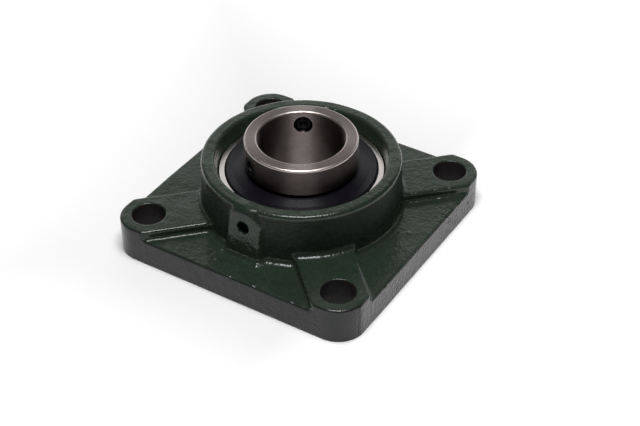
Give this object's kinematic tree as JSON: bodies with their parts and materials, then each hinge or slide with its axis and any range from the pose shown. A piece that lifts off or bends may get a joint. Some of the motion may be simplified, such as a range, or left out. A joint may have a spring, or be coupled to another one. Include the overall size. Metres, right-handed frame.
{
  "type": "square flange bearing",
  "caption": "Square flange bearing unit: cast housing with corner bolt holes and a self-aligning ball bearing insert locked to the shaft by set screws.",
  "frame": {"origin": "on the shaft axis, at the back face of the flange", "axes": "+Z along the shaft axis, out of the boss and away from the machine; X and Y along the sides of the flange; the grease port is on the -Y side"},
  "size_m": [0.116, 0.116, 0.0444],
  "materials": {
    "housing_paint": "satin",
    "outer_ring_steel": "satin",
    "inner_ring_steel": "satin",
    "ball_steel": "polished",
    "cage_steel": "satin",
    "seal_rubber": "matte",
    "slinger_black": "satin",
    "screw_black": "satin"
  },
  "bodies": {
    "housing": {"housing": "housing_paint"},
    "outer_ring": {"outer_ring": "outer_ring_steel", "seal_front": "seal_rubber", "seal_back": "seal_rubber"},
    "inner_ring": {"inner_ring": "inner_ring_steel", "slinger_front": "slinger_black", "slinger_back": "slinger_black", "set_screw_1": "screw_black", "set_screw_2": "screw_black"},
    "cage": {"cage_front": "cage_steel", "cage_back": "cage_steel", "cage_rivets": "cage_steel"},
    "ball_1": {"ball_1": "ball_steel"},
    "ball_2": {"ball_2": "ball_steel"},
    "ball_3": {"ball_3": "ball_steel"},
    "ball_4": {"ball_4": "ball_steel"},
    "ball_5": {"ball_5": "ball_steel"},
    "ball_6": {"ball_6": "ball_steel"},
    "ball_7": {"ball_7": "ball_steel"},
    "ball_8": {"ball_8": "ball_steel"},
    "ball_9": {"ball_9": "ball_steel"}
  },
  "joints": [
    {"name": "insert_align", "type": "hinge", "parent": "housing", "child": "outer_ring", "pos_m": [0, 0, 0.019], "axis": [1, 0, 0], "range_deg": [-2, 2]},
    {"name": "shaft_spin", "type": "hinge", "parent": "outer_ring", "child": "inner_ring", "pos_m": [0, 0, 0.019], "axis": [0, 0, 1], "continuous": true},
    {"name": "cage_orbit", "type": "hinge", "parent": "outer_ring", "child": "cage", "pos_m": [0, 0, 0.019], "axis": [0, 0, 1], "continuous": true},
    {"name": "ball_1_roll", "type": "hinge", "parent": "cage", "child": "ball_1", "pos_m": [0.02675, 0, 0.019], "axis": [0, 0, 1], "continuous": true},
    {"name": "ball_2_roll", "type": "hinge", "parent": "cage", "child": "ball_2", "pos_m": [0.02049, 0.01719, 0.019], "axis": [0, 0, 1], "continuous": true},
    {"name": "ball_3_roll", "type": "hinge", "parent": "cage", "child": "ball_3", "pos_m": [0.00465, 0.02634, 0.019], "axis": [0, 0, 1], "continuous": true},
    {"name": "ball_4_roll", "type": "hinge", "parent": "cage", "child": "ball_4", "pos_m": [-0.01337, 0.02317, 0.019], "axis": [0, 0, 1], "continuous": true},
    {"name": "ball_5_roll", "type": "hinge", "parent": "cage", "child": "ball_5", "pos_m": [-0.02514, 0.00915, 0.019], "axis": [0, 0, 1], "continuous": true},
    {"name": "ball_6_roll", "type": "hinge", "parent": "cage", "child": "ball_6", "pos_m": [-0.02514, -0.00915, 0.019], "axis": [0, 0, 1], "continuous": true},
    {"name": "ball_7_roll", "type": "hinge", "parent": "cage", "child": "ball_7", "pos_m": [-0.01337, -0.02317, 0.019], "axis": [0, 0, 1], "continuous": true},
    {"name": "ball_8_roll", "type": "hinge", "parent": "cage", "child": "ball_8", "pos_m": [0.00465, -0.02634, 0.019], "axis": [0, 0, 1], "continuous": true},
    {"name": "ball_9_roll", "type": "hinge", "parent": "cage", "child": "ball_9", "pos_m": [0.02049, -0.01719, 0.019], "axis": [0, 0, 1], "continuous": true}
  ],
  "couplings": [
    {"joint": "cage_orbit", "follows": "shaft_spin", "ratio": 0.39615},
    {"joint": "ball_1_roll", "follows": "shaft_spin", "ratio": -2.3035},
    {"joint": "ball_2_roll", "follows": "shaft_spin", "ratio": -2.3035},
    {"joint": "ball_3_roll", "follows": "shaft_spin", "ratio": -2.3035},
    {"joint": "ball_4_roll", "follows": "shaft_spin", "ratio": -2.3035},
    {"joint": "ball_5_roll", "follows": "shaft_spin", "ratio": -2.3035},
    {"joint": "ball_6_roll", "follows": "shaft_spin", "ratio": -2.3035},
    {"joint": "ball_7_roll", "follows": "shaft_spin", "ratio": -2.3035},
    {"joint": "ball_8_roll", "follows": "shaft_spin", "ratio": -2.3035},
    {"joint": "ball_9_roll", "follows": "shaft_spin", "ratio": -2.3035}
  ]
}
